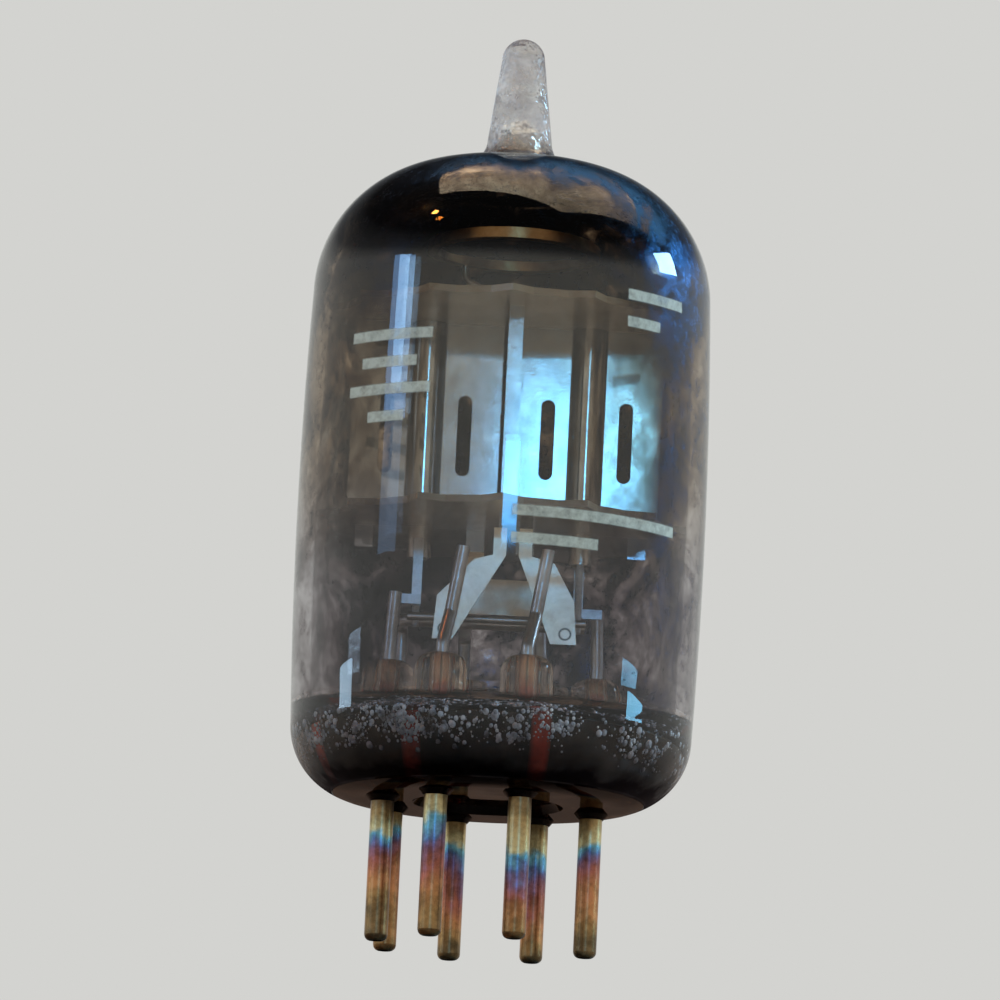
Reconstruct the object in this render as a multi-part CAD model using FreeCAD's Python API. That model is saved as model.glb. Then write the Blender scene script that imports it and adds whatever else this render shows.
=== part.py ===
"""Seven-pin miniature vacuum tube: a twin diode in a blown glass bulb.

Millimetres. +Z runs up the tube. The origin is on the tube's axis, on the plane of the pin ends,
so the tube stands on z = 0. The two diodes lie side by side along X, and -Y is the front.
"""
import FreeCAD
import Part

import math
import os

V = FreeCAD.Vector
Z_AXIS = V(0, 0, 1)

# Base pins: a ring of eight places 45 degrees apart, with one place left empty as the key
pin_count = 7
pin_pitch_deg = 45.0
first_pin_deg = 17.0
pin_circle_d = 9.525
pin_d = 1.016
pin_length = 6.35
pin_end_round = 0.28

# Leads through and above the stem
seal_wire_d = 0.64
inner_lead_d = 0.56
lead_bend_r = 0.45
lead_rise = 0.45
rear_weld_back = 0.25
front_lead_rise = 4.8
front_lead_shift = 0.7
strap_lead_rise = 3.6
strap_lead_knee = 1.4
strap_lead_shift = 0.35
ribbon_lead_over_bar = 0.9
ribbon_lead_shift = 0.12
heater_bar_rise = 2.15
heater_bar_gap = 0.48

# Pressed glass stem
stem_rim = 0.9175
stem_thickness = 3.1
seat_dish_r = 3.3
seat_dish_depth = 0.35
boss_r = 1.12
boss_height = 2.8
boss_foot_flare = 0.35
boss_neck_gap = 0.12
collar_r = 0.76
collar_depth = 0.25
collar_land = 0.04

# Blown glass bulb
barrel_bulge = 0.2
bulb_wall = 0.8
heel_r = 3.2
heel_bore_r = 1.18
shoulder_r = 6.0
dome_height = 6.9

# Tipped-off exhaust tube on top of the bulb
tip_foot_r = 1.42
tip_end_r = 0.95
tip_length = 5.95

# Mica spacers
mica_thickness = 0.3
lead_room = 6.15
mica_gap = 8.9
mica_tooth_length = 0.63
mica_tooth_count = 14
mica_tooth_deg = 7.0
mica_bulb_gap = 0.02
fit_gap = 0.02

# Cathode sleeves and their heaters
cathode_d = 1.04
cathode_wall = 0.09
cathode_below = 1.35
cathode_above = 0.75
heater_d = 0.3
heater_leg_offset = 0.2
heater_link_d = 0.36
heater_end = 0.35

# Anodes: two pressed half shells each, back to back round the cathode
sheet = 0.12
anode_bulb_gap = 1.13
anode_axis_gap = 0.25
anode_bore_r = 0.68
slot_rib = 0.61
slot_width = 0.62
slot_length = 3.6
slot_drop = 0.55
tab_width = 0.8
tab_length = 0.95
tab_edge = 0.45

# Shield plate between the diodes
shield_sheet = 0.16
shield_half_depth = 4.7
shield_tab_offset = 2.9
shield_lip = 0.55

# Straps from the electrodes to the leads
strap_sheet = 0.12
strap_neck = 0.56
strap_neck_length = 1.2
strap_foot_height = 0.75
strap_top_gap = 0.4
left_foot_shift = -0.06
left_foot_width = 0.85
right_foot_shift = 1.5
right_foot_width = 1.1
ribbon_width = 0.42
ribbon_sheet = 0.08
ribbon_weld = 0.8

# Getter ring above the upper mica
getter_r = 3.6
getter_channel = 0.46
getter_wall = 0.1
getter_height = 3.0
getter_post_d = 0.3
getter_post_lean = 2.4

# Places worked out from the sizes above
pin_circle_r = pin_circle_d / 2
lead_r = inner_lead_d / 2
seat_z = pin_length
collar_low_z = seat_z - collar_depth
stem_top_z = seat_z + stem_thickness
boss_top_z = stem_top_z + boss_height
lower_mica_z = boss_top_z + lead_room
cage_low_z = lower_mica_z + mica_thickness
cage_high_z = cage_low_z + mica_gap
cage_mid_z = (cage_low_z + cage_high_z) / 2
upper_mica_top_z = cage_high_z + mica_thickness
stem_r = pin_circle_r + boss_r + stem_rim
bore_end_r = stem_r + heel_bore_r
bulb_end_r = bore_end_r + bulb_wall
heel_centre_r = bulb_end_r - heel_r
heel_centre_z = seat_z + heel_r
joint_low_z = heel_centre_z - math.sqrt(heel_r**2 - (stem_r - heel_centre_r) ** 2)
dome_z = upper_mica_top_z + dome_height
shoulder_z = dome_z - shoulder_r
shoulder_centre_r = bulb_end_r - shoulder_r
wall_mid_z = (heel_centre_z + shoulder_z) / 2
bore_low_z = stem_top_z + heel_bore_r
bore_half = (shoulder_z - bore_low_z) / 2
bore_curve_r = (bore_half**2 + barrel_bulge**2) / (2 * barrel_bulge)
mica_body_r = bore_end_r - mica_tooth_length
anode_half_width = (bore_end_r - anode_bulb_gap - anode_axis_gap) / 2
cathode_offset = anode_axis_gap + anode_half_width
slot_offset = anode_bore_r + sheet + slot_rib + slot_width / 2
tab_offset = anode_half_width - tab_edge - tab_width / 2
heater_bar_z = boss_top_z + heater_bar_rise
heater_bar_y = heater_leg_offset + heater_d / 2 + lead_r
heater_link_y = -heater_leg_offset - heater_d / 2 - heater_link_d / 2
ribbon_lead_rise = heater_bar_rise + ribbon_lead_over_bar
front_strap_y = -shield_tab_offset - tab_width / 2 - strap_sheet


def pin_place(number):
    """Centre of a pin, counted round the ring from the first place after the key."""
    angle = math.radians(first_pin_deg + (number - 1) * pin_pitch_deg)
    return V(pin_circle_r * math.cos(angle), pin_circle_r * math.sin(angle), 0)


def bore_r_at(z):
    """Inside radius of the barrel at a height."""
    off_middle = z - (bore_low_z + bore_half)
    return bore_end_r + barrel_bulge - bore_curve_r + math.sqrt(bore_curve_r**2 - off_middle**2)


def line(a, b):
    return Part.LineSegment(a, b).toShape()


def arc(a, mid, b):
    return Part.Arc(a, mid, b).toShape()


def rz(r, z):
    """A point of a turned profile, r from the axis and z up."""
    return V(r, 0, z)


def turned(edges):
    """Solid of revolution about Z from a closed profile in the XZ plane."""
    return Part.Face(Part.Wire(edges)).revolve(V(0, 0, 0), Z_AXIS, 360)


def rod(radius, low_z, high_z, place=V(0, 0, 0)):
    return Part.makeCylinder(radius, high_z - low_z, V(place.x, place.y, low_z))


def block(x0, x1, y0, y1, z0, z1):
    return Part.makeBox(x1 - x0, y1 - y0, z1 - z0, V(x0, y0, z0))


def bent_path(points, bend_r):
    """Straight runs through the points, joined by arcs that touch both runs."""
    edges = []
    start = points[0]
    for before, corner, after in zip(points, points[1:], points[2:]):
        come = (before - corner).normalize()
        go = (after - corner).normalize()
        half = come.getAngle(go) / 2
        reach = bend_r / math.tan(half)
        enter = corner + come * reach
        leave = corner + go * reach
        inward = (come + go).normalize()
        centre = corner + inward * (bend_r / math.sin(half))
        edges.append(line(start, enter))
        edges.append(arc(enter, centre - inward * bend_r, leave))
        start = leave
    edges.append(line(start, points[-1]))
    return Part.Wire(edges)


def bent_wire(points, radius, bend_r):
    """Round wire along a bent path."""
    path = bent_path(points, bend_r)
    section = Part.Wire(Part.makeCircle(radius, points[0], points[1] - points[0]))
    return path.makePipeShell([section], True, True)


def sheet_panel(outline, thickness, low_y):
    """Flat sheet in the XZ plane, from (x, z) corners, standing at y = low_y and back from there."""
    corners = [V(x, low_y, z) for x, z in outline]
    face = Part.Face(Part.makePolygon(corners + corners[:1]))
    return face.extrude(V(0, thickness, 0))


def fillet(centre, radius, start_deg, end_deg):
    """Arc of a turned profile about an (r, z) centre. Angles are from the r axis."""
    points = []
    for angle in (start_deg, (start_deg + end_deg) / 2, end_deg):
        turn = math.radians(angle)
        points.append(rz(centre[0] + radius * math.cos(turn), centre[1] + radius * math.sin(turn)))
    return arc(*points)


def make_glass_bulb():
    """Barrel-shaped wall, round shoulder, drawn tip on top and a heel that turns in to the stem."""
    tip_top_z = dome_z + tip_length
    tip_cap_z = tip_top_z - tip_end_r
    tip_fillet_r = shoulder_centre_r - tip_foot_r
    tip_foot_z = dome_z + tip_fillet_r
    bore_r = tip_foot_r - bulb_wall
    heel_start_deg = math.degrees(math.asin((stem_r - heel_centre_r) / heel_r)) - 90
    outside = [
        fillet((heel_centre_r, heel_centre_z), heel_r, heel_start_deg, 0),
        arc(
            rz(bulb_end_r, heel_centre_z),
            rz(bulb_end_r + barrel_bulge, wall_mid_z),
            rz(bulb_end_r, shoulder_z),
        ),
        fillet((shoulder_centre_r, shoulder_z), shoulder_r, 0, 90),
        fillet((shoulder_centre_r, tip_foot_z), tip_fillet_r, 270, 180),
        line(rz(tip_foot_r, tip_foot_z), rz(tip_end_r, tip_cap_z)),
        fillet((0, tip_cap_z), tip_end_r, 0, 90),
    ]
    inside = [
        line(rz(0, tip_top_z), rz(0, tip_foot_z + bore_r)),
        fillet((0, tip_foot_z), bore_r, 90, 0),
        fillet((shoulder_centre_r, tip_foot_z), tip_fillet_r + bulb_wall, 180, 270),
        fillet((shoulder_centre_r, shoulder_z), shoulder_r - bulb_wall, 90, 0),
        arc(
            rz(bore_end_r, shoulder_z),
            rz(bore_end_r + barrel_bulge, bore_low_z + bore_half),
            rz(bore_end_r, bore_low_z),
        ),
        fillet((stem_r, bore_low_z), heel_bore_r, 0, -90),
        line(rz(stem_r, stem_top_z), rz(stem_r, joint_low_z)),
    ]
    return turned(outside + inside)


def make_boss():
    """Round-topped glass boss that grips one lead above the stem, at the axis."""
    foot_r = boss_r + boss_foot_flare
    neck_r = seal_wire_d / 2 + boss_neck_gap
    crown_r = boss_r - neck_r
    crown_z = boss_top_z - crown_r
    foot_z = stem_top_z - boss_foot_flare
    return turned(
        [
            line(rz(0, foot_z), rz(foot_r, foot_z)),
            line(rz(foot_r, foot_z), rz(foot_r, stem_top_z)),
            fillet((foot_r, stem_top_z + boss_foot_flare), boss_foot_flare, 270, 180),
            line(rz(boss_r, stem_top_z + boss_foot_flare), rz(boss_r, crown_z)),
            fillet((neck_r, crown_z), crown_r, 0, 90),
            line(rz(neck_r, boss_top_z), rz(0, boss_top_z)),
            line(rz(0, boss_top_z), rz(0, foot_z)),
        ]
    )


def make_button_stem():
    """Glass button with a boss above and a collar below each of the seven leads."""
    dish_z = seat_z + seat_dish_depth
    heel_end_deg = math.degrees(math.asin((stem_r - heel_centre_r) / heel_r)) - 90
    button = turned(
        [
            line(rz(0, dish_z), rz(seat_dish_r - seat_dish_depth, dish_z)),
            line(rz(seat_dish_r - seat_dish_depth, dish_z), rz(seat_dish_r, seat_z)),
            line(rz(seat_dish_r, seat_z), rz(heel_centre_r, seat_z)),
            fillet((heel_centre_r, heel_centre_z), heel_r, -90, heel_end_deg),
            line(rz(stem_r, joint_low_z), rz(stem_r, stem_top_z)),
            line(rz(stem_r, stem_top_z), rz(0, stem_top_z)),
            line(rz(0, stem_top_z), rz(0, dish_z)),
        ]
    )
    boss = make_boss()
    collar = Part.makeCone(pin_d / 2 + collar_land, collar_r, collar_depth, V(0, 0, collar_low_z))
    collar = collar.fuse(rod(collar_r, seat_z, seat_z + seat_dish_depth * 2))
    grips = []
    holes = []
    for number in range(1, pin_count + 1):
        place = pin_place(number)
        grips.append(boss.translated(place))
        grips.append(collar.translated(place))
        holes.append(rod(seal_wire_d / 2, collar_low_z, boss_top_z, place))
    return button.multiFuse(grips).removeSplitter().cut(Part.makeCompound(holes))


def make_base_pin():
    """Outer pin with a rounded end, at the axis. Its top butts against the seal wire and the collar."""
    r = pin_d / 2
    return turned(
        [
            line(rz(0, 0), rz(r - pin_end_round, 0)),
            fillet((r - pin_end_round, pin_end_round), pin_end_round, 270, 360),
            line(rz(r, pin_end_round), rz(r, collar_low_z)),
            line(rz(r, collar_low_z), rz(0, collar_low_z)),
            line(rz(0, collar_low_z), rz(0, 0)),
        ]
    )


def lead_route(number):
    """Route of an inner lead above its boss. 1 and 5 carry the cathode ribbons, 2 the rear strap, 3 and 4
    are bent into the heater bars, 6 and 7 carry the two front straps."""
    foot = pin_place(number) + V(0, 0, boss_top_z)
    rise = foot + V(0, 0, lead_rise)
    if number in (1, 5):
        inward = -ribbon_lead_shift if number == 1 else ribbon_lead_shift
        return [foot, rise, foot + V(inward, inward, ribbon_lead_rise)]
    if number == 2:
        weld_y = foot.y - rear_weld_back
        knee = V(foot.x - strap_lead_shift / 2, weld_y, foot.z + strap_lead_knee)
        return [foot, rise, knee, V(foot.x - strap_lead_shift, weld_y, foot.z + strap_lead_rise)]
    if number in (3, 4):
        bar_end_x = cathode_offset + heater_end
        if number == 4:
            bar_end_x = pin_place(3).x - lead_r - heater_bar_gap
        return [
            foot,
            V(foot.x, foot.y, heater_bar_z),
            V(foot.x, heater_bar_y, heater_bar_z),
            V(bar_end_x, heater_bar_y, heater_bar_z),
        ]
    weld_y = front_strap_y - lead_r
    knee = V(foot.x + front_lead_shift * 0.4, weld_y, foot.z + front_lead_rise * 0.4)
    return [foot, rise, knee, V(foot.x + front_lead_shift, weld_y, foot.z + front_lead_rise)]


def mica_outline(tooth_r):
    """Round disc with springy pointed teeth that bear on the inside of the bulb."""
    half_tooth = math.radians(mica_tooth_deg)
    step = 2 * math.pi / mica_tooth_count
    edges = []

    def at(radius, angle):
        return V(radius * math.cos(angle), radius * math.sin(angle), 0)

    for n in range(mica_tooth_count):
        middle = n * step + step / 2
        start = middle - half_tooth
        end = middle + half_tooth
        following = middle + step - half_tooth
        edges.append(line(at(mica_body_r, start), at(tooth_r, middle)))
        edges.append(line(at(tooth_r, middle), at(mica_body_r, end)))
        edges.append(
            arc(at(mica_body_r, end), at(mica_body_r, (end + following) / 2), at(mica_body_r, following))
        )
    return Part.Face(Part.Wire(edges))


def tab_slots(low_z):
    """Openings in a mica for the anode and shield tabs and the two cathodes."""
    high_z = low_z + mica_thickness
    cuts = []
    for side in (-1, 1):
        cuts.append(rod(cathode_d / 2 + fit_gap, low_z, high_z, V(side * cathode_offset, 0, 0)))
        for wing in (-1, 1):
            centre = side * cathode_offset + wing * tab_offset
            half = tab_width / 2 + fit_gap
            cuts.append(
                block(centre - half, centre + half, -sheet - fit_gap, fit_gap, low_z, high_z)
            )
            half_x = shield_sheet / 2 + fit_gap
            middle = wing * shield_tab_offset
            if side == 1:
                cuts.append(block(-half_x, half_x, middle - half, middle + half, low_z, high_z))
    return cuts


def make_mica(low_z):
    """Mica disc with its teeth just inside the bulb, and openings for what stands through it."""
    tooth_r = min(bore_r_at(low_z), bore_r_at(low_z + mica_thickness)) - mica_bulb_gap
    disc = mica_outline(tooth_r).extrude(V(0, 0, mica_thickness)).translated(V(0, 0, low_z))
    return disc.cut(Part.makeCompound(tab_slots(low_z)))


def make_cathode(side):
    """Thin nickel sleeve, open at both ends."""
    place = V(side * cathode_offset, 0, 0)
    low = lower_mica_z - cathode_below
    high = upper_mica_top_z + cathode_above
    outer = rod(cathode_d / 2, low, high, place)
    return outer.cut(rod(cathode_d / 2 - cathode_wall, low, high, place))


def make_heater(side):
    """Coated hairpin in the sleeve. The rear leg meets a lead's bar and the front leg meets the link."""
    centre = side * cathode_offset
    low_z = heater_bar_z - heater_end
    leg = heater_leg_offset
    points = [
        V(centre, -leg, low_z),
        V(centre, -leg, upper_mica_top_z),
        V(centre, leg, upper_mica_top_z),
        V(centre, leg, low_z),
    ]
    return bent_wire(points, heater_d / 2, leg * 0.95)


def make_heater_link():
    """Straight wire under the cathodes that joins the front legs of the two heaters."""
    reach = cathode_offset + heater_end
    return Part.makeCylinder(
        heater_link_d / 2, reach * 2, V(-reach, heater_link_y, heater_bar_z), V(1, 0, 0)
    )


def anode_section(facing):
    """Flat wings either side of a half-round trough. facing is -1 for the front shell, 1 for the back."""
    outer = anode_bore_r + sheet
    w = anode_half_width
    t = sheet * facing
    return Part.Face(
        Part.Wire(
            [
                line(V(-w, 0, 0), V(-anode_bore_r, 0, 0)),
                arc(V(-anode_bore_r, 0, 0), V(0, anode_bore_r * facing, 0), V(anode_bore_r, 0, 0)),
                line(V(anode_bore_r, 0, 0), V(w, 0, 0)),
                line(V(w, 0, 0), V(w, t, 0)),
                line(V(w, t, 0), V(math.sqrt(outer**2 - t**2), t, 0)),
                arc(
                    V(math.sqrt(outer**2 - t**2), t, 0),
                    V(0, outer * facing, 0),
                    V(-math.sqrt(outer**2 - t**2), t, 0),
                ),
                line(V(-math.sqrt(outer**2 - t**2), t, 0), V(-w, t, 0)),
                line(V(-w, t, 0), V(-w, 0, 0)),
            ]
        )
    )


def long_slot(x, z, width, length, low_y, high_y):
    """Cutter for a slot with round ends, through the sheet along Y."""
    half = width / 2
    straight = length / 2 - half
    body = block(x - half, x + half, low_y, high_y, z - straight, z + straight)
    depth = high_y - low_y
    ends = [Part.makeCylinder(half, depth, V(x, low_y, z + s * straight), V(0, 1, 0)) for s in (-1, 1)]
    return body.multiFuse(ends)


def make_anode_shell(side, facing):
    """One pressed half of an anode: trough, two slotted wings, and the tabs on the front half."""
    shell = anode_section(facing).extrude(V(0, 0, mica_gap)).translated(V(0, 0, cage_low_z))
    reach = sheet * 2
    slot_z = cage_mid_z - slot_drop
    cuts = [
        long_slot(s * slot_offset, slot_z, slot_width, slot_length, -reach, reach) for s in (-1, 1)
    ]
    shell = shell.cut(Part.makeCompound(cuts))
    if facing < 0:
        tabs = []
        for s in (-1, 1):
            x0 = s * tab_offset - tab_width / 2
            x1 = s * tab_offset + tab_width / 2
            tabs.append(block(x0, x1, -sheet, 0, cage_low_z - mica_thickness - tab_length, cage_low_z))
            tabs.append(block(x0, x1, -sheet, 0, cage_high_z, upper_mica_top_z + tab_length))
        shell = shell.multiFuse(tabs).removeSplitter()
    return shell.translated(V(side * cathode_offset, 0, 0))


def make_center_shield():
    """Flat plate between the diodes, with lips folded along both upright edges and tabs through the micas."""
    half = shield_sheet / 2
    plate = block(-half, half, -shield_half_depth, shield_half_depth, cage_low_z, cage_high_z)
    parts = []
    for s in (-1, 1):
        edge = s * shield_half_depth
        inner = edge - s * shield_sheet
        parts.append(block(half, shield_lip, min(edge, inner), max(edge, inner), cage_low_z, cage_high_z))
        y0 = s * shield_tab_offset - tab_width / 2
        y1 = s * shield_tab_offset + tab_width / 2
        parts.append(block(-half, half, y0, y1, lower_mica_z - tab_length, cage_low_z))
        parts.append(block(-half, half, y0, y1, cage_high_z, upper_mica_top_z + tab_length))
    return plate.multiFuse(parts).removeSplitter()


def slanted_strap(top_x, foot_x, foot_width, y):
    """Sheet strap in the XZ plane: a narrow neck under the mica that spreads down and out to a foot."""
    out = 1 if foot_x > top_x else -1
    top_z = lower_mica_z - strap_top_gap
    neck_z = top_z - strap_neck_length
    foot_z = boss_top_z + strap_foot_height
    neck = out * strap_neck / 2
    half = out * foot_width / 2
    outline = [
        (top_x - neck, top_z),
        (top_x + neck, top_z),
        (top_x + neck, neck_z),
        (top_x + neck + half * 1.8, neck_z - foot_width * 0.25),
        (foot_x + half * 0.7, (neck_z + foot_z) / 2),
        (foot_x + half, foot_z),
        (foot_x - half, foot_z),
        (top_x - neck, neck_z),
    ]
    return sheet_panel(outline, strap_sheet, y)


def make_shield_strap():
    """Left front strap. Its top is folded back along the shield's lower tab."""
    foot_x = pin_place(6).x + left_foot_shift
    strap = slanted_strap(0, foot_x, left_foot_width, front_strap_y)
    top_z = lower_mica_z - strap_top_gap
    fold = block(
        shield_sheet / 2,
        shield_sheet / 2 + strap_sheet,
        front_strap_y,
        -shield_tab_offset + tab_width / 2,
        top_z - tab_length,
        top_z,
    )
    return strap.fuse(fold).removeSplitter()


def make_right_anode_strap():
    """Right front strap. Its top is folded back under the mica to the right anode's inner tab."""
    top_x = cathode_offset - tab_offset
    foot_x = pin_place(7).x + right_foot_shift
    strap = slanted_strap(top_x, foot_x, right_foot_width, front_strap_y)
    top_z = lower_mica_z - strap_top_gap
    half = strap_neck / 2
    fold = block(top_x - half, top_x + half, front_strap_y, -sheet, top_z - strap_sheet, top_z)
    return strap.fuse(fold).removeSplitter()


def make_left_anode_strap():
    """Strap behind the cathodes, from the left anode's inner tab back and across to the second lead."""
    top_x = tab_offset - cathode_offset
    lead = lead_route(2)[-1]
    top_z = lower_mica_z - strap_top_gap
    strip_z = top_z - strap_neck * 2
    low_z = lead.z - strap_neck
    lead_face = lead.y - lead_r - strap_sheet
    half_tab = tab_width / 2
    floor = block(top_x - half_tab, top_x + half_tab, 0, lead_face, top_z - strap_sheet, top_z)
    drop = sheet_panel(
        [
            (top_x - half_tab, top_z),
            (top_x + half_tab, top_z),
            (top_x + half_tab, strip_z),
            (lead.x + strap_neck, strip_z),
            (lead.x + strap_neck, low_z),
            (top_x - half_tab, low_z),
        ],
        strap_sheet,
        lead_face,
    )
    return floor.fuse(drop).removeSplitter()


def make_cathode_ribbon(side):
    """Thin ribbon from the foot of a cathode sleeve to its lead."""
    number = 1 if side > 0 else 5
    lead = lead_route(number)[-1]
    sleeve_low = lower_mica_z - cathode_below
    sleeve_face = cathode_d / 2
    outward = 1 if lead.y > 0 else -1
    start_y = outward * sleeve_face
    end_y = lead.y - outward * (lead_r + ribbon_sheet)
    x = side * cathode_offset
    half = ribbon_width / 2
    upright = block(
        x - half,
        x + half,
        min(start_y, start_y + outward * ribbon_sheet),
        max(start_y, start_y + outward * ribbon_sheet),
        lead.z - ribbon_width,
        sleeve_low + ribbon_weld,
    )
    across = block(
        x - half,
        x + half,
        min(start_y, end_y),
        max(start_y, end_y),
        lead.z - ribbon_width,
        lead.z - ribbon_width + ribbon_sheet,
    )
    foot = block(
        min(x - half, lead.x - half),
        max(x + half, lead.x + half),
        min(end_y, end_y + outward * ribbon_sheet),
        max(end_y, end_y + outward * ribbon_sheet),
        lead.z - ribbon_width,
        lead.z,
    )
    return upright.multiFuse([across, foot]).removeSplitter()


def make_getter_ring():
    """Ring of U-shaped channel, open upwards, that held the getter metal."""
    half = getter_channel / 2
    low = upper_mica_top_z + getter_height
    high = low + getter_channel
    outer = rod(getter_r + half, low, high)
    ring = outer.cut(rod(getter_r - half, low, high))
    groove = rod(getter_r + half - getter_wall, low + getter_wall, high)
    groove = groove.cut(rod(getter_r - half + getter_wall, low + getter_wall, high))
    return ring.cut(groove)


def make_getter_post():
    """Wire that carries the getter ring. It stands on the shield's rear tab and leans out to the ring."""
    r = getter_post_d / 2
    x = shield_sheet / 2 + r
    foot = V(x, shield_tab_offset, upper_mica_top_z)
    end_x = x - getter_post_lean
    end = V(end_x, math.sqrt(getter_r**2 - end_x**2), upper_mica_top_z + getter_height)
    return bent_wire(
        [
            foot,
            foot + V(0, 0, getter_height * 0.4),
            end - V(0, 0, getter_height * 0.2),
            end,
        ],
        r,
        getter_post_d * 1.5,
    )


def build():
    """Every piece of the tube, by name."""
    pieces = {"glass_bulb": make_glass_bulb(), "button_stem": make_button_stem()}
    pin = make_base_pin()
    for number in range(1, pin_count + 1):
        place = pin_place(number)
        pieces[f"base_pin_{number}"] = pin.translated(place)
        pieces[f"seal_wire_{number}"] = rod(seal_wire_d / 2, collar_low_z, boss_top_z, place)
        pieces[f"inner_lead_{number}"] = bent_wire(lead_route(number), lead_r, lead_bend_r)
    pieces["lower_mica"] = make_mica(lower_mica_z)
    pieces["upper_mica"] = make_mica(cage_high_z)
    for side, name in ((-1, "left"), (1, "right")):
        pieces[f"{name}_cathode"] = make_cathode(side)
        pieces[f"{name}_heater"] = make_heater(side)
        pieces[f"{name}_cathode_ribbon"] = make_cathode_ribbon(side)
        pieces[f"{name}_anode_front"] = make_anode_shell(side, -1)
        pieces[f"{name}_anode_back"] = make_anode_shell(side, 1)
    pieces["heater_link"] = make_heater_link()
    pieces["center_shield"] = make_center_shield()
    pieces["shield_strap"] = make_shield_strap()
    pieces["right_anode_strap"] = make_right_anode_strap()
    pieces["left_anode_strap"] = make_left_anode_strap()
    pieces["getter_ring"] = make_getter_ring()
    pieces["getter_post"] = make_getter_post()
    return pieces


def main():
    os.makedirs("parts", exist_ok=True)
    for name, shape in build().items():
        print(name, len(shape.Solids), shape.isValid(), round(shape.Volume, 3))
        shape.exportStep(f"parts/{name}.step")


main()
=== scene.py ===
import math

import bpy
import numpy as np
from mathutils import Euler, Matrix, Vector


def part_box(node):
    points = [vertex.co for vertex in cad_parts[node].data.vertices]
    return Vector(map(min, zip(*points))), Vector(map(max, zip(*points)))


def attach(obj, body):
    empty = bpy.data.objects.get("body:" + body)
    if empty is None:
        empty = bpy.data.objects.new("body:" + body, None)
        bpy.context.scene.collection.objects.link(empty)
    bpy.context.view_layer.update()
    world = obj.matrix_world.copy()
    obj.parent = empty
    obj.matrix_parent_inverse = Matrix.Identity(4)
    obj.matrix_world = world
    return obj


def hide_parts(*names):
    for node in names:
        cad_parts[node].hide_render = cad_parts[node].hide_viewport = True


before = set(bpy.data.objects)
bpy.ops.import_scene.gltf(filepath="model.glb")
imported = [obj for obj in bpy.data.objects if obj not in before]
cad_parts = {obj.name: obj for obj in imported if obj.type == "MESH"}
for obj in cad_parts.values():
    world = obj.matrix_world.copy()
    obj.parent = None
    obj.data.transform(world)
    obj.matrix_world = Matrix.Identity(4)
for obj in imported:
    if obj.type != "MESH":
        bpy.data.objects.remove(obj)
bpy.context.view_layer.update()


# Glass bulb with the exhaust tube drawn out of its dome. It is soft glass blown in a mould and sealed
# to the stem below. The getter flash left a dark metal film on the inside of its wall.
MM = 0.001


def linear(hex_colour):
    """A #rrggbb colour as linear light, by the sRGB curve."""
    parts = [int(hex_colour[i : i + 2], 16) / 255 for i in (1, 3, 5)]
    return [c / 12.92 if c <= 0.04045 else ((c + 0.055) / 1.055) ** 2.4 for c in parts] + [1.0]


def add_node(tree, kind, *values, output=None, stops=(), **named):
    """Adds one node and gives back one of its outputs, the first unless another is named. Values feed its
    inputs in order. A name with a capital is an input, and one without is a setting of the node. What
    feeds an input is a number, a hex colour or another node's output. Stops are a colour ramp's places
    from 0 to 1, each with a hex colour or a grey level."""
    node = tree.nodes.new("ShaderNode" + kind)
    for name, value in named.items():
        if name[0].islower():
            setattr(node, name, value)
    sockets = [socket for socket in node.inputs if socket.enabled]
    feeds = list(zip(sockets, values))
    feeds += [(s, named[s.name.replace(" ", "_")]) for s in sockets if s.name.replace(" ", "_") in named]
    for socket, value in feeds:
        if isinstance(value, bpy.types.NodeSocket):
            tree.links.new(value, socket)
        elif value is not None:
            socket.default_value = linear(value) if isinstance(value, str) else value
    for _ in stops[2:]:
        node.color_ramp.elements.new(0.5)
    for number, (place, colour) in enumerate(stops):
        element = node.color_ramp.elements[number]
        element.position = place
        element.color = linear(colour) if isinstance(colour, str) else [colour] * 3 + [1.0]
    outputs = [socket for socket in node.outputs if socket.enabled and output in (None, socket.name)]
    return outputs[0] if outputs else None


def new_material(name):
    """An empty material, and the node tree that its shader goes into."""
    material = bpy.data.materials.new(name)
    material.use_nodes = True
    material.node_tree.nodes.clear()
    return material, material.node_tree


def arc_profile(centre_r, centre_z, radius, start_deg, end_deg, count):
    """Points of an arc in the (r, z) plane. Angles are from the r axis."""
    angle = np.radians(np.linspace(start_deg, end_deg, count))
    return np.column_stack([centre_r + radius * np.cos(angle), centre_z + radius * np.sin(angle)])


def bow_profile(r, bulge, low_z, high_z, count):
    """Shallow arc from low to high that stands out by the bulge at mid height. Its radius is
    (half height squared + bulge squared) / (2 bulge)."""
    half = (high_z - low_z) / 2
    radius = (half**2 + bulge**2) / (2 * bulge)
    z = np.linspace(low_z, high_z, count)
    return np.column_stack([r + bulge - radius + np.sqrt(radius**2 - (z - low_z - half) ** 2), z])


def joined(*runs):
    """Runs of profile points end to end, without the points that repeat where two runs meet."""
    return np.vstack([runs[0]] + [run[1:] for run in runs[1:]])


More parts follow.
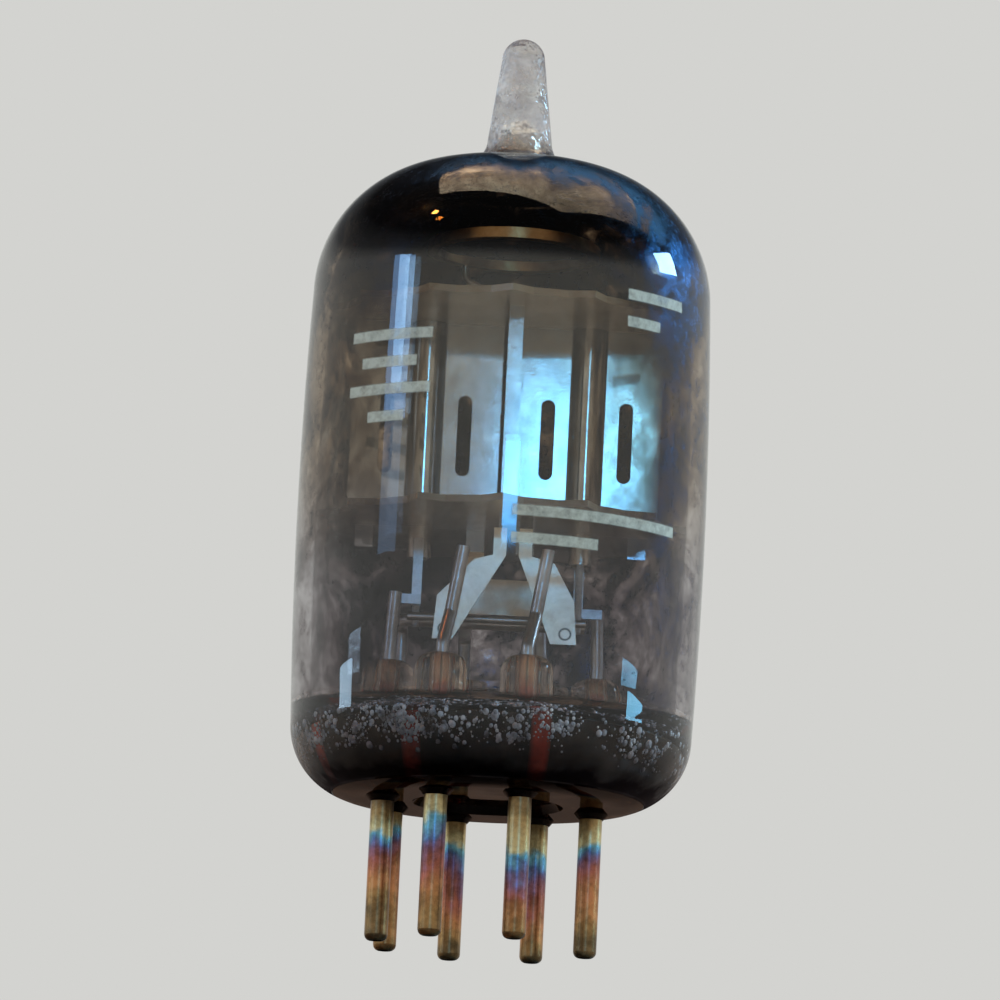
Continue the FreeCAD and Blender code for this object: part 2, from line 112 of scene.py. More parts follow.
def turned_wall(name, profile, segments):
    """A closed profile turned about Z. Point (r, z) at turn a lies at (r cos a, r sin a, z). A point on
    the axis is one vertex, with a fan of triangles round it. Also gives each face's place along the
    profile."""
    rings = len(profile)
    on_axis = profile[:, 0] < 1e-6
    turn = np.linspace(0, 2 * np.pi, segments, endpoint=False)
    r, z = profile[:, :1], profile[:, 1:]
    points = np.stack([r * np.cos(turn), r * np.sin(turn), z + 0 * turn], axis=-1).reshape(-1, 3)
    grid = np.arange(rings * segments).reshape(rings, segments)
    grid[on_axis] = grid[on_axis][:, :1]
    used, grid = np.unique(grid.ravel(), return_inverse=True)
    low = grid.reshape(rings, segments)
    high = np.roll(low, -1, axis=0)
    faces = np.stack([low, np.roll(low, -1, axis=1), np.roll(high, -1, axis=1), high], axis=-1)
    next_on_axis = np.roll(on_axis, -1)
    full = np.flatnonzero(~on_axis & ~next_on_axis)
    closing = np.flatnonzero(~on_axis & next_on_axis)
    opening = np.flatnonzero(on_axis & ~next_on_axis)
    corners = faces[full].reshape(-1, 4).tolist()
    corners += faces[closing][..., [0, 1, 2]].reshape(-1, 3).tolist()
    corners += faces[opening][..., [0, 2, 3]].reshape(-1, 3).tolist()
    mesh = bpy.data.meshes.new(name)
    mesh.from_pydata((points[used] * MM).tolist(), [], corners)
    mesh.shade_smooth()
    piece = bpy.data.objects.new(name, mesh)
    bpy.context.collection.objects.link(piece)
    return piece, np.repeat(np.concatenate([full, closing, opening]), segments)


bulb_top_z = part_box("glass_bulb")[1][2] / MM
collar_height = 0.25
seat_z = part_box("button_stem")[0][2] / MM + collar_height
tip_height = 5.95
dome_z = bulb_top_z - tip_height
stem_r = 6.8
stem_top_z = seat_z + 3.1
bulb_end_r = 8.78
barrel_bulge = 0.2
wall = 0.8
heel_r = 3.2
shoulder_r = 6.0
tip_foot_r = 1.42
tip_end_r = 0.95
seal_gap = 0.02
bulb_segments = 192


def bulb_profile():
    """Outside of the bulb from the seal up to the tip, then the inside from the bore down to the seal."""
    inner_r = bulb_end_r - wall
    joint_r = stem_r + seal_gap
    corner = inner_r - joint_r
    heel_start = -90 + math.degrees(math.asin((joint_r - bulb_end_r + heel_r) / heel_r))
    shoulder_z = dome_z - shoulder_r
    shoulder_centre = bulb_end_r - shoulder_r
    flare_r = shoulder_centre - tip_foot_r
    tip_foot_z = dome_z + flare_r
    tip_cap_z = bulb_top_z - tip_end_r
    outside = joined(
        arc_profile(bulb_end_r - heel_r, seat_z + heel_r, heel_r, heel_start, 0, 22),
        bow_profile(bulb_end_r, barrel_bulge, seat_z + heel_r, shoulder_z, 40),
        arc_profile(shoulder_centre, shoulder_z, shoulder_r, 0, 90, 40),
        arc_profile(shoulder_centre, tip_foot_z, flare_r, 270, 180, 20),
        np.linspace((tip_foot_r, tip_foot_z), (tip_end_r, tip_cap_z), 10),
        arc_profile(0, tip_cap_z, tip_end_r, 0, 90, 14),
    )
    inside = joined(
        arc_profile(0, tip_foot_z, tip_foot_r - wall, 90, 0, 10),
        arc_profile(shoulder_centre, tip_foot_z, flare_r + wall, 180, 270, 20),
        arc_profile(shoulder_centre, shoulder_z, shoulder_r - wall, 90, 0, 36),
        bow_profile(inner_r, barrel_bulge, stem_top_z + corner, shoulder_z, 40)[::-1],
        arc_profile(joint_r, stem_top_z + corner, corner, 0, -90, 12),
    )
    return outside, inside


def clear_glass(tree, colour, roughness=0.0, normal=None):
    """Soda-lime glass. Lamp light goes straight through it to what it holds, as thin glass lets it."""
    glass = add_node(tree, "BsdfGlass", Color=colour, Roughness=roughness, IOR=1.52, Normal=normal)
    through = add_node(tree, "BsdfTransparent", Color=colour)
    shadow = add_node(tree, "LightPath", output="Is Shadow Ray")
    return add_node(tree, "MixShader", shadow, glass, through)


def band(tree, value, centre, half, soft):
    """1 where the value lies within half of the centre, falling to 0 over the soft width inside it."""
    apart = add_node(tree, "Math", value, centre, operation="SUBTRACT")
    away = add_node(tree, "Math", apart, operation="ABSOLUTE")
    return add_node(tree, "MapRange", away, half, half - soft)


def plain_bars(tree, place):
    """Plain printed bars. Each is given by its place round the bulb from the front, its height over the
    floor and its length, in millimetres."""
    bar_width = 0.55
    edge = 0.08
    bars = [(-5.6, 25.6, 4.4), (-5.6, 24.4, 3.0), (-5.6, 23.2, 4.4), (-5.6, 22.0, 2.0)]
    bars += [(7.2, 27.9, 3.6), (6.4, 26.7, 2.0)]
    bars += [(4.6, 17.9, 8.4), (2.4, 16.7, 4.0)]
    x = add_node(tree, "SeparateXYZ", place, output="X")
    y = add_node(tree, "SeparateXYZ", place, output="Y")
    z = add_node(tree, "SeparateXYZ", place, output="Z")
    forward = add_node(tree, "Math", y, -1.0, operation="MULTIPLY")
    turn = add_node(tree, "Math", x, forward, operation="ARCTAN2")
    along = add_node(tree, "Math", turn, bulb_end_r + barrel_bulge, operation="MULTIPLY")
    up = add_node(tree, "Math", z, 1 / MM, operation="MULTIPLY")
    mask = 0.0
    for centre, height, length in bars:
        wide = band(tree, along, centre, length / 2, edge)
        tall = band(tree, up, height, bar_width / 2, edge)
        bar = add_node(tree, "Math", wide, tall, operation="MULTIPLY")
        mask = add_node(tree, "Math", mask, bar, operation="MAXIMUM")
    return mask


def blown_glass():
    """Blown soft glass: clear and smooth on the wall, dulled in patches by handling, milky and rippled on
    the drawn tip. Its colour goes dark brown to black towards the heel, a painted shade for the dark that
    the thick glass there shows. The print is plain bars, rubbed thin."""
    heel_shade_reach = 5.2
    material, tree = new_material("soft_glass_blown")
    place = add_node(tree, "TexCoord", output="Object")
    z = add_node(tree, "SeparateXYZ", place, output="Z")
    tip = add_node(tree, "Math", z, (dome_z + 0.1) * MM, operation="GREATER_THAN")

    patches = add_node(tree, "TexNoise", Vector=place, Scale=1 / (3.85 * MM), Detail=6.0, Roughness=0.55)
    smear = add_node(tree, "ValToRGB", patches, stops=[(0.5, 0.0), (0.8, 0.07)])
    clouds = add_node(tree, "TexNoise", Vector=place, Scale=1 / (2.63 * MM), Detail=5.0, Roughness=0.55)
    milkiness = add_node(tree, "ValToRGB", clouds, stops=[(0.36, 0.14), (0.66, 0.74)])
    half_milky = add_node(tree, "Math", milkiness, 0.5, operation="MULTIPLY")
    dull = add_node(tree, "Math", tip, half_milky, smear, operation="MULTIPLY_ADD")
    lumps = add_node(tree, "TexNoise", Vector=place, Scale=1 / (1.56 * MM), Detail=3.0, Roughness=0.55)
    ripple = add_node(tree, "Math", tip, lumps, operation="MULTIPLY")
    bump = add_node(tree, "Bump", Strength=0.8, Distance=0.9 * MM, Height=ripple)

    # Painted shade: the glass colour goes dark brown to black towards the heel.
    height = add_node(tree, "MapRange", z, seat_z * MM, (seat_z + heel_shade_reach) * MM, clamp=False)
    heel_shade_wisps = add_node(tree, "TexNoise", Vector=place, Scale=1 / (1.67 * MM), Detail=5.0, Roughness=0.55)
    painted_heel_shade = add_node(tree, "Math", heel_shade_wisps, 0.3, height, operation="MULTIPLY_ADD")
    painted_heel_shade_stops = [(0.08, "#1b1614"), (0.26, "#3a3436"), (0.46, "#b4aeac"), (0.8, "#f4f6f5")]
    body = add_node(tree, "ValToRGB", painted_heel_shade, stops=painted_heel_shade_stops)
    glass = clear_glass(tree, body, dull, bump)

    frosting = add_node(tree, "TexNoise", Vector=place, Scale=1 / (1.43 * MM), Detail=4.0, Roughness=0.55)
    frost = add_node(tree, "ValToRGB", frosting, stops=[(0.35, "#8f8385"), (0.6, "#e4e1e3")])
    skin = add_node(tree, "BsdfDiffuse", Color=frost, Normal=bump)
    glow = add_node(tree, "BsdfTranslucent", Color=frost, Normal=bump)
    milk = add_node(tree, "MixShader", 0.5, skin, glow)
    milky = add_node(tree, "Math", tip, milkiness, operation="MULTIPLY")
    frosted = add_node(tree, "MixShader", milky, glass, milk)

    rubbing = add_node(tree, "TexNoise", Vector=place, Scale=1 / (0.455 * MM), Detail=4.0, Roughness=0.7)
    worn = add_node(tree, "ValToRGB", rubbing, stops=[(0.3, 0.45), (0.6, 0.92)])
    printed = add_node(tree, "Math", plain_bars(tree, place), worn, operation="MULTIPLY")
    ink = add_node(tree, "BsdfDiffuse", Color="#bfcdc6")
    add_node(tree, "OutputMaterial", add_node(tree, "MixShader", printed, frosted, ink))
    return material


def getter_film():
    """Evaporated barium film on the inside of the glass: black and mirror-like where it is thick, smoky
    where it is thin, brown above and grey below. Its mirror is tinted from brown on the left to blue on the
    right, a painted blue reflection of a window."""
    grey_stops = [(0.0, "#eeedee"), (0.25, "#cdc7ca"), (0.5, "#83777a"), (0.7, "#352f38"), (0.88, "#100e12")]
    brown_stops = [(0.0, "#f1ece3"), (0.25, "#dccdba"), (0.5, "#a08a74"), (0.7, "#54443a"), (0.88, "#151112")]
    mirror_painted_blue_stops = [(0.1, "#4a3426"), (0.32, "#2a2628"), (0.52, "#2b4059"), (0.9, "#284f76")]
    grey_below_z = 16.8
    brown_above_z = 24.8
    material, tree = new_material("getter_film_evaporated")
    place = add_node(tree, "TexCoord", output="Object")
    x = add_node(tree, "SeparateXYZ", place, output="X")
    z = add_node(tree, "SeparateXYZ", place, output="Z")
    amount = add_node(tree, "Attribute", attribute_name="film", output="Fac")

    blotch = add_node(
        tree, "TexNoise", Vector=place, Scale=1 / (3.33 * MM), Detail=9.0, Roughness=0.72, Distortion=0.6
    )
    speckle = add_node(tree, "TexNoise", Vector=place, Scale=1 / (0.588 * MM), Detail=6.0, Roughness=0.75)
    patchy = add_node(tree, "Math", blotch, 2.6, -1.3, operation="MULTIPLY_ADD")
    uneven = add_node(tree, "Math", speckle, 0.9, -0.45, operation="MULTIPLY_ADD")
    uneven = add_node(tree, "Math", uneven, patchy, operation="ADD")
    spread = add_node(tree, "Math", amount, 0.75, 0.2, operation="MULTIPLY_ADD")
    ragged = add_node(tree, "Math", uneven, spread, amount, operation="MULTIPLY_ADD")

    grey = add_node(tree, "ValToRGB", ragged, stops=grey_stops)
    brown = add_node(tree, "ValToRGB", ragged, stops=brown_stops)
    height = add_node(tree, "MapRange", z, grey_below_z * MM, brown_above_z * MM, clamp=False)
    drifting = add_node(tree, "Math", blotch, 0.6, height, operation="MULTIPLY_ADD")
    warm = add_node(tree, "ValToRGB", drifting, stops=[(0.2, 0.0), (0.9, 1.0)])
    tint = add_node(tree, "Mix", warm, grey, brown, data_type="RGBA")

    # Painted reflection: the mirror's tint turns blue towards the right.
    painted_blue_to_the_right = add_node(tree, "Math", x, 0.042 / MM, 0.312, operation="MULTIPLY_ADD")
    painted_blue_hue = add_node(tree, "Math", blotch, 0.5, painted_blue_to_the_right, operation="MULTIPLY_ADD")
    mirror_painted_blue_colour = add_node(tree, "ValToRGB", painted_blue_hue, stops=mirror_painted_blue_stops)
    bloom = add_node(tree, "ValToRGB", speckle, stops=[(0.38, 0.08), (0.66, 0.36)])
    mirror = add_node(tree, "BsdfPrincipled", Base_Color=mirror_painted_blue_colour, Metallic=1.0, Roughness=bloom)
    cover = add_node(tree, "ValToRGB", ragged, stops=[(0.3, 0.0), (0.62, 0.22), (0.95, 0.85)])
    add_node(tree, "OutputMaterial", add_node(tree, "MixShader", cover, clear_glass(tree, tint), mirror))
    return material


def film_thickness(points):
    """Thickness of the film from 0 to 1. It is full on the crown, thins out by smooth steps down the wall
    and over the front of the shoulder, stays thick at the sides and the back, and stops at the tip."""
    x, y, z = points.T / MM
    r = np.hypot(x, y)
    from_front = np.abs(np.arctan2(x, -y))

    def step(value, low, high):
        t = np.clip((value - low) / (high - low), 0, 1)
        return t * t * (3 - 2 * t)

    everywhere = 0.08
    crown = 0.72 * step(z, dome_z - 2.9, dome_z - 0.9)
    shoulder = 0.42 * step(z, 25.0, dome_z - 3.0) * (0.35 + 0.65 * step(from_front, 0.5, 1.1))
    sides = 0.6 * (1 - np.exp(-(from_front**2))) * (0.7 + 0.3 * step(z, 12.0, 25.0))
    behind = 0.22 * step(from_front, 1.8, 2.5)
    bare_tip = step(z, dome_z - 0.1, dome_z + 0.9) * step(-r, -2.3, -1.5)
    return (everywhere + crown + shoulder + sides + behind).clip(0, 1) * (1 - bare_tip)


def seam_with_painted_shade():
    """Fused seam between bulb and stem, coloured nearly black as painted shade for the dark that the glass
    shows there. The copper wires are painted in it as upright red streaks, one at each of the seven leads,
    which stand 45 degrees apart with one place left out.
    The IOR is low because glass lies on both sides of it."""
    first_lead = math.radians(17.0)
    key_gap = math.radians(332.0)
    places = 8
    material, tree = new_material("glass_seam_burnt")
    place = add_node(tree, "TexCoord", output="Object")
    x = add_node(tree, "SeparateXYZ", place, output="X")
    y = add_node(tree, "SeparateXYZ", place, output="Y")
    turn = add_node(tree, "Math", y, x, operation="ARCTAN2")
    mottle = add_node(tree, "TexNoise", Vector=place, Scale=1 / (1.43 * MM), Detail=6.0, Roughness=0.7)

    leads = add_node(tree, "Math", turn, places, -places * first_lead, operation="MULTIPLY_ADD")
    leads = add_node(tree, "Math", leads, operation="COSINE")
    streak = add_node(tree, "ValToRGB", leads, stops=[(0.86, 0.0), (0.97, 1.0)])
    from_key = add_node(tree, "Math", turn, key_gap, operation="SUBTRACT")
    from_key = add_node(tree, "Math", from_key, operation="COSINE")
    lead_here = add_node(tree, "Math", from_key, math.cos(math.pi / places), operation="LESS_THAN")
    streak = add_node(tree, "Math", streak, lead_here, operation="MULTIPLY")
    mottled = add_node(tree, "ValToRGB", mottle, stops=[(0.3, 0.25), (0.6, 1.0)])
    streak = add_node(tree, "Math", streak, mottled, operation="MULTIPLY")

    # Painted shade: the seam is coloured near black, with red streaks painted for the wires.
    black = add_node(tree, "ValToRGB", mottle, stops=[(0.4, "#0b0908"), (0.65, "#2c231f"), (0.8, "#5d5048")])
    colour = add_node(tree, "Mix", streak, black, "#d8452c", data_type="RGBA")
    add_node(tree, "OutputMaterial", add_node(tree, "BsdfPrincipled", colour, Roughness=0.3, IOR=1.2))
    return material


outside, inside = bulb_profile()
bulb, face_places = turned_wall("bulb", np.vstack([outside, inside]), bulb_segments)
bulb.data.materials.append(blown_glass())
bulb.data.materials.append(getter_film())
bulb.data.materials.append(seam_with_painted_shade())
filmed = face_places >= len(outside)
seam = face_places == len(outside) + len(inside) - 1
bulb.data.polygons.foreach_set("material_index", filmed.astype(np.int32) + seam)
points = np.empty(len(bulb.data.vertices) * 3)
bulb.data.vertices.foreach_get("co", points)
film = bulb.data.attributes.new("film", "FLOAT", "POINT")
film.data.foreach_set("value", film_thickness(points.reshape(-1, 3)))
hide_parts("glass_bulb")
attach(bulb, "root")


# Bubbles in the fused seam. They are gas trapped in the glass when the bulb and the stem were melted
# together. They crowd in clusters under the stem's top face, with single ones between.
def beads(name, centres, radii, rings=4, segments=7):
    """Small round beads as one mesh. A unit ball of rings at polar angle p and turn a, with points
    (sin p cos a, sin p sin a, cos p), is scaled and set at each centre."""
    polar = np.linspace(0, np.pi, rings + 2)[1:-1]
    turn = np.linspace(0, 2 * np.pi, segments, endpoint=False)
    p, a = np.meshgrid(polar, turn, indexing="ij")
    ball = np.stack([np.sin(p) * np.cos(a), np.sin(p) * np.sin(a), np.cos(p)], axis=-1).reshape(-1, 3)
    ball = np.vstack([ball, [(0, 0, 1), (0, 0, -1)]])
    column = np.arange(segments)
    after = np.roll(column, -1)
    row = segments * np.arange(rings - 1)[:, None]
    quads = np.stack([row + column, row + column + segments, row + after + segments, row + after], axis=-1)
    top = np.full(segments, rings * segments)
    last = (rings - 1) * segments
    top_fan = np.column_stack([top, column, after])
    foot_fan = np.column_stack([top + 1, last + after, last + column])
    start = len(ball) * np.arange(len(centres))[:, None, None]
    faces = (quads.reshape(-1, 4) + start).reshape(-1, 4).tolist()
    faces += (np.vstack([top_fan, foot_fan]) + start).reshape(-1, 3).tolist()
    points = (centres[:, None, :] + ball[None] * radii[:, None, None]).reshape(-1, 3)
    mesh = bpy.data.meshes.new(name)
    mesh.from_pydata((points * MM).tolist(), [], faces)
    mesh.shade_smooth()
    piece = bpy.data.objects.new(name, mesh)
    bpy.context.collection.objects.link(piece)
    return piece


def bubble_skin():
    """Skins of trapped bubbles: silvery, because the glass round them mirrors the light, some sooty."""
    material, tree = new_material("glass_bubble")
    place = add_node(tree, "TexCoord", output="Object")
    mottle = add_node(tree, "TexNoise", Vector=place, Scale=1 / (0.667 * MM), Detail=4.0, Roughness=0.55)
    colour = add_node(tree, "ValToRGB", mottle, stops=[(0.34, "#4a4c50"), (0.5, "#b9bfc6"), (0.66, "#f2f5f7")])
    add_node(tree, "OutputMaterial", add_node(tree, "BsdfPrincipled", colour, Roughness=0.12, IOR=1.5))
    return material


rng = np.random.default_rng(7)
bubble_count = 2600
cluster_count = 46
cluster = rng.integers(0, cluster_count, bubble_count)
cluster_turn = rng.uniform(0, 2 * np.pi, cluster_count)
cluster_z = rng.normal(stem_top_z - 0.55, 0.3, cluster_count)
single = rng.random(bubble_count) < 0.35
bubble_turn = cluster_turn[cluster] + rng.normal(0, 0.055, bubble_count)
bubble_turn = np.where(single, rng.uniform(0, 2 * np.pi, bubble_count), bubble_turn)
bubble_z = cluster_z[cluster] + rng.normal(0, 0.26, bubble_count)
bubble_z = bubble_z.clip(stem_top_z - 1.8, stem_top_z + 0.1)
bubble_r = rng.uniform(stem_r + 0.15, stem_r + 0.95, bubble_count)
bubble_size = rng.gamma(1.7, 0.028, bubble_count).clip(0.016, 0.17)
bubble_x = bubble_r * np.cos(bubble_turn)
bubble_y = bubble_r * np.sin(bubble_turn)
bubbles = beads("seal_bubbles", np.column_stack([bubble_x, bubble_y, bubble_z]), bubble_size)
bubbles.data.materials.append(bubble_skin())
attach(bubbles, "root")


# Button stem. It is soft glass pressed round the seven leads, with a boss round each, and fused to the
# bulb at its rim.
def pressed_glass():
    """Pressed soft glass: clear in the bosses, and painted dark brown below as painted shade for the dark
    that the stem shows there.
    """
    painted_stem_shade_reach = 6.0
    material, tree = new_material("soft_glass_pressed")
    place = add_node(tree, "TexCoord", output="Object")
    z = add_node(tree, "SeparateXYZ", place, output="Z")
    height = add_node(tree, "MapRange", z, seat_z * MM, (seat_z + painted_stem_shade_reach) * MM, clamp=False)
    drift = add_node(tree, "TexNoise", Vector=place, Scale=1 / (3.03 * MM), Detail=4.0, Roughness=0.55)
    height = add_node(tree, "Math", height, 0.2, operation="SUBTRACT")
    # Painted shade: the stem's colour goes dark brown towards its foot, and clear above.
    painted_stem_shade = add_node(tree, "Math", drift, 0.4, height, operation="MULTIPLY_ADD")
    painted_shade_to_clear_stops = [(0.0, "#5e4f48"), (0.34, "#8a7466"), (0.45, "#ead9c4"), (0.58, "#fbf6ee")]
    colour = add_node(tree, "ValToRGB", painted_stem_shade, stops=painted_shade_to_clear_stops)
    add_node(tree, "OutputMaterial", clear_glass(tree, colour, 0.02))
    return material


def dress(node, material):
    """Gives a CAD node its material. Its mesh and its shading stay as packed."""
    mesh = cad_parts[node].data
    mesh.materials.clear()
    mesh.materials.append(material)


dress("button_stem", pressed_glass())


# Base pins. They are nickel-iron wire, tinted in bands of oxide colour by the sealing flame, from the
# glass down, and rounded at the ends.
lead_numbers = range(1, 8)


def tinted_pin():
    """Nickel-iron wire, silky from drawing and soiled by handling. Its heat-tint bands run down from the
    glass, straw, blue, purple, then copper, and wander a little from pin to pin."""
    pin_length = 6.6
    tint_stops = [(0.0, "#8b7350"), (0.16, "#b28a58"), (0.33, "#c98a5a"), (0.45, "#b06a58")]
    tint_stops += [(0.54, "#8d6a80"), (0.61, "#6a7fa6"), (0.68, "#78b6c6"), (0.74, "#d9cb98")]
    tint_stops += [(0.86, "#b89a68"), (1.0, "#6e5a42")]
    material, tree = new_material("nickel_iron_heat_tinted")
    place = add_node(tree, "TexCoord", output="Object")
    z = add_node(tree, "SeparateXYZ", place, output="Z")
    wander = add_node(tree, "TexNoise", Vector=place, Scale=1 / (4.35 * MM), Detail=4.0, Roughness=0.65)
    drift = add_node(tree, "TexNoise", Vector=place, Scale=1 / (10.5 * MM), Detail=1.0, Roughness=0.55)
    height = add_node(tree, "Math", z, 1 / (pin_length * MM), -0.7, operation="MULTIPLY_ADD")
    height = add_node(tree, "Math", wander, 0.85, height, operation="MULTIPLY_ADD")
    height = add_node(tree, "Math", drift, 0.55, height, operation="MULTIPLY_ADD")
    tint = add_node(tree, "ValToRGB", height, stops=tint_stops)

    dirt = add_node(tree, "TexNoise", Vector=place, Scale=1 / (1.11 * MM), Detail=6.0, Roughness=0.75)
    soil = add_node(tree, "ValToRGB", dirt, stops=[(0.4, 0.3), (0.6, 0.92)])
    colour = add_node(tree, "Mix", 0.8, tint, soil, data_type="RGBA", blend_type="MULTIPLY")
    drawn = add_node(tree, "Mapping", place, Scale=(1.0, 1.0, 0.12))
    grain = add_node(tree, "TexNoise", Vector=drawn, Scale=1 / (0.111 * MM), Detail=3.0, Roughness=0.55)
    bump = add_node(tree, "Bump", Strength=0.25, Distance=0.02 * MM, Height=grain)
    metal = add_node(tree, "BsdfPrincipled", colour, Metallic=1.0, Roughness=0.3, Normal=bump)
    add_node(tree, "OutputMaterial", metal)
    return material


pin_metal = tinted_pin()
for number in lead_numbers:
    dress(f"base_pin_{number}", pin_metal)


# Seal wires. They are nickel-iron wire with a copper sleeve, which the glass wets. They run through the
# stem, one under each boss.
def copper_sleeve():
    """Copper sleeve in glass: red with cuprous oxide in the stem, pink-orange and brighter in the boss."""
    boss_height = 4.0
    material, tree = new_material("copper_clad_wire")
    place = add_node(tree, "TexCoord", output="Object")
    z = add_node(tree, "SeparateXYZ", place, output="Z")
    height = add_node(tree, "MapRange", z, stem_top_z * MM, (stem_top_z + boss_height) * MM, clamp=False)
    drift = add_node(tree, "TexNoise", Vector=place, Scale=1 / (1.43 * MM), Detail=5.0, Roughness=0.55)
    height = add_node(tree, "Math", height, 0.25, operation="SUBTRACT")
    height = add_node(tree, "Math", drift, 0.5, height, operation="MULTIPLY_ADD")
    colour = add_node(tree, "ValToRGB", height, stops=[(0.0, "#c83a22"), (0.25, "#ea7a50"), (0.5, "#ffc596")])
    add_node(tree, "OutputMaterial", add_node(tree, "BsdfPrincipled", colour, Metallic=1.0, Roughness=0.4))
    return material


seal_metal = copper_sleeve()
for number in lead_numbers:
    dress(f"seal_wire_{number}", seal_metal)


# Inner leads, cathode ribbons, heater link and getter post. They are drawn nickel, dulled by firing,
# and spot welded to each other.
def fired_metal(name, light, dark, roughness, grain_strength=0.2):
    """Bare metal whose colour drifts between two tones, with a fine grain from drawing or rolling."""
    material, tree = new_material(name)
    place = add_node(tree, "TexCoord", output="Object")
    drift = add_node(tree, "TexNoise", Vector=place, Scale=1 / (1.43 * MM), Detail=5.0, Roughness=0.55)
    colour = add_node(tree, "ValToRGB", drift, stops=[(0.3, dark), (0.7, light)])
    grain = add_node(tree, "TexNoise", Vector=place, Scale=1 / (0.102 * MM), Detail=3.0, Roughness=0.55)
    bump = add_node(tree, "Bump", Strength=grain_strength, Distance=0.01 * MM, Height=grain)
    metal = add_node(tree, "BsdfPrincipled", colour, Metallic=1.0, Roughness=roughness, Normal=bump)
    add_node(tree, "OutputMaterial", metal)
    return material


lead_metal = fired_metal("nickel_drawn_wire", "#d2cdc6", "#a8a29a", 0.3)
for number in lead_numbers:
    dress(f"inner_lead_{number}", lead_metal)
for node in ("left_cathode_ribbon", "right_cathode_ribbon", "heater_link", "getter_post"):
    dress(node, lead_metal)


# Straps. They are bright annealed nickel sheet, cut to shape and spot welded to the leads and the tabs.
# Each weld on the front shows as a dull ring about half a millimetre across.
def add_weld_rings(material, spots):
    """Darkens a thin ring round each spot. The ring is where the distance to the spot is its radius."""
    ring_r = 0.24
    ring_half = 0.07
    edge = 0.06
    tree = material.node_tree
    shader = next(node for node in tree.nodes if node.type == "BSDF_PRINCIPLED")
    colour = shader.inputs["Base Color"].links[0].from_socket
    place = add_node(tree, "TexCoord", output="Object")
    ring = 0.0
    for spot in spots:
        apart = add_node(tree, "VectorMath", place, [v * MM for v in spot], operation="DISTANCE")
        apart = add_node(tree, "Math", apart, MM, operation="DIVIDE")
        here = band(tree, apart, ring_r, ring_half, edge)
        ring = add_node(tree, "Math", ring, here, operation="MAXIMUM")
    marked = add_node(tree, "Mix", ring, colour, "#5e574c", data_type="RGBA")
    tree.links.new(marked, shader.inputs["Base Color"])


strap_metal = fired_metal("nickel_sheet_annealed", "#fff0d8", "#efdcbc", 0.36)
shield_low, shield_high = (np.array(v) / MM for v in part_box("shield_strap"))
anode_low, anode_high = (np.array(v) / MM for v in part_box("right_anode_strap"))
foot_in = 0.5
foot_up = 0.45
head_down = 0.6
weld_spots = [
    (shield_low[0] + foot_in, shield_low[1], shield_low[2] + foot_up),
    ((shield_low[0] + shield_high[0]) / 2, shield_low[1], shield_high[2] - head_down),
    (anode_high[0] - foot_in, anode_low[1], anode_low[2] + foot_up),
    ((anode_low[0] + anode_high[0]) / 2, anode_low[1], anode_high[2] - head_down),
]
add_weld_rings(strap_metal, weld_spots)
for node in ("shield_strap", "right_anode_strap", "left_anode_strap"):
    dress(node, strap_metal)


# Anodes and centre shield. They are nickel-plated steel strip, pressed to shape and crimped together.
# The plating is bright, so they mirror what stands in front of the tube.
anode_metal = fired_metal("nickel_plated_steel", "#c8ccd0", "#a6abb2", 0.08, 0.06)
for side in ("left", "right"):
    dress(f"{side}_anode_front", anode_metal)
    dress(f"{side}_anode_back", anode_metal)
dress("center_shield", anode_metal)


# Cathode sleeves. They are thin seamless nickel tube, held by the micas, with a white oxide coating
# where the anodes hide it.
cathode_metal = fired_metal("nickel_seamless_tube", "#f7efe0", "#d9d0c0", 0.25)
for side in ("left", "right"):
    dress(f"{side}_cathode", cathode_metal)


# Heaters. They are tungsten hairpins under a sprayed and sintered alumina coat, slid into the cathode
# sleeves.
def sprayed_alumina():
    """Sprayed alumina: matt, chalky and slightly grey."""
    material, tree = new_material("alumina_sprayed")
    place = add_node(tree, "TexCoord", output="Object")
    chalk = add_node(tree, "TexNoise", Vector=place, Scale=1 / (0.4 * MM), Detail=4.0, Roughness=0.55)
    colour = add_node(tree, "ValToRGB", chalk, stops=[(0.3, "#b9b6ae"), (0.7, "#e2dfd6")])
    add_node(tree, "OutputMaterial", add_node(tree, "BsdfPrincipled", colour, Roughness=0.8))
    return material


heater_coat = sprayed_alumina()
for side in ("left", "right"):
    dress(f"{side}_heater", heater_coat)


# Mica spacers. They are punched from split mica sheet, with points that bear on the glass and keep the
# mount from rattling.
def split_mica():
    """Split mica: see-through, brownish, with silky cleavage patches."""
    material, tree = new_material("mica_punched")
    place = add_node(tree, "TexCoord", output="Object")
    patches = add_node(tree, "TexNoise", Vector=place, Scale=1 / (4.17 * MM), Detail=6.0, Roughness=0.55)
    colour = add_node(tree, "ValToRGB", patches, stops=[(0.3, "#b5a48c"), (0.7, "#d9cdb9")])
    sheet = add_node(
        tree, "BsdfPrincipled", colour, Roughness=0.25, IOR=1.58, Transmission_Weight=0.55
    )
    add_node(tree, "OutputMaterial", sheet)
    return material


mica = split_mica()
dress("lower_mica", mica)
dress("upper_mica", mica)


# Getter ring. It is a rolled channel of nickel-plated steel on a post, browned when the getter in it
# was flashed.
getter_metal = fired_metal("getter_channel_rolled", "#f0cfa2", "#b88c62", 0.3)
dress("getter_ring", getter_metal)


# Floor and air. The floor is pale paper. It is seen through from below, because the photo looks up
# past the pins from under their ends. The air is a room with pale walls and a dark ceiling.
def pale_paper():
    """Plain matt paper from above, nothing from below."""
    material, tree = new_material("paper_pale")
    paper = add_node(tree, "BsdfDiffuse", Color="#d6d6d3")
    nothing = add_node(tree, "BsdfTransparent")
    below = add_node(tree, "NewGeometry", output="Backfacing")
    add_node(tree, "OutputMaterial", add_node(tree, "MixShader", below, paper, nothing))
    return material


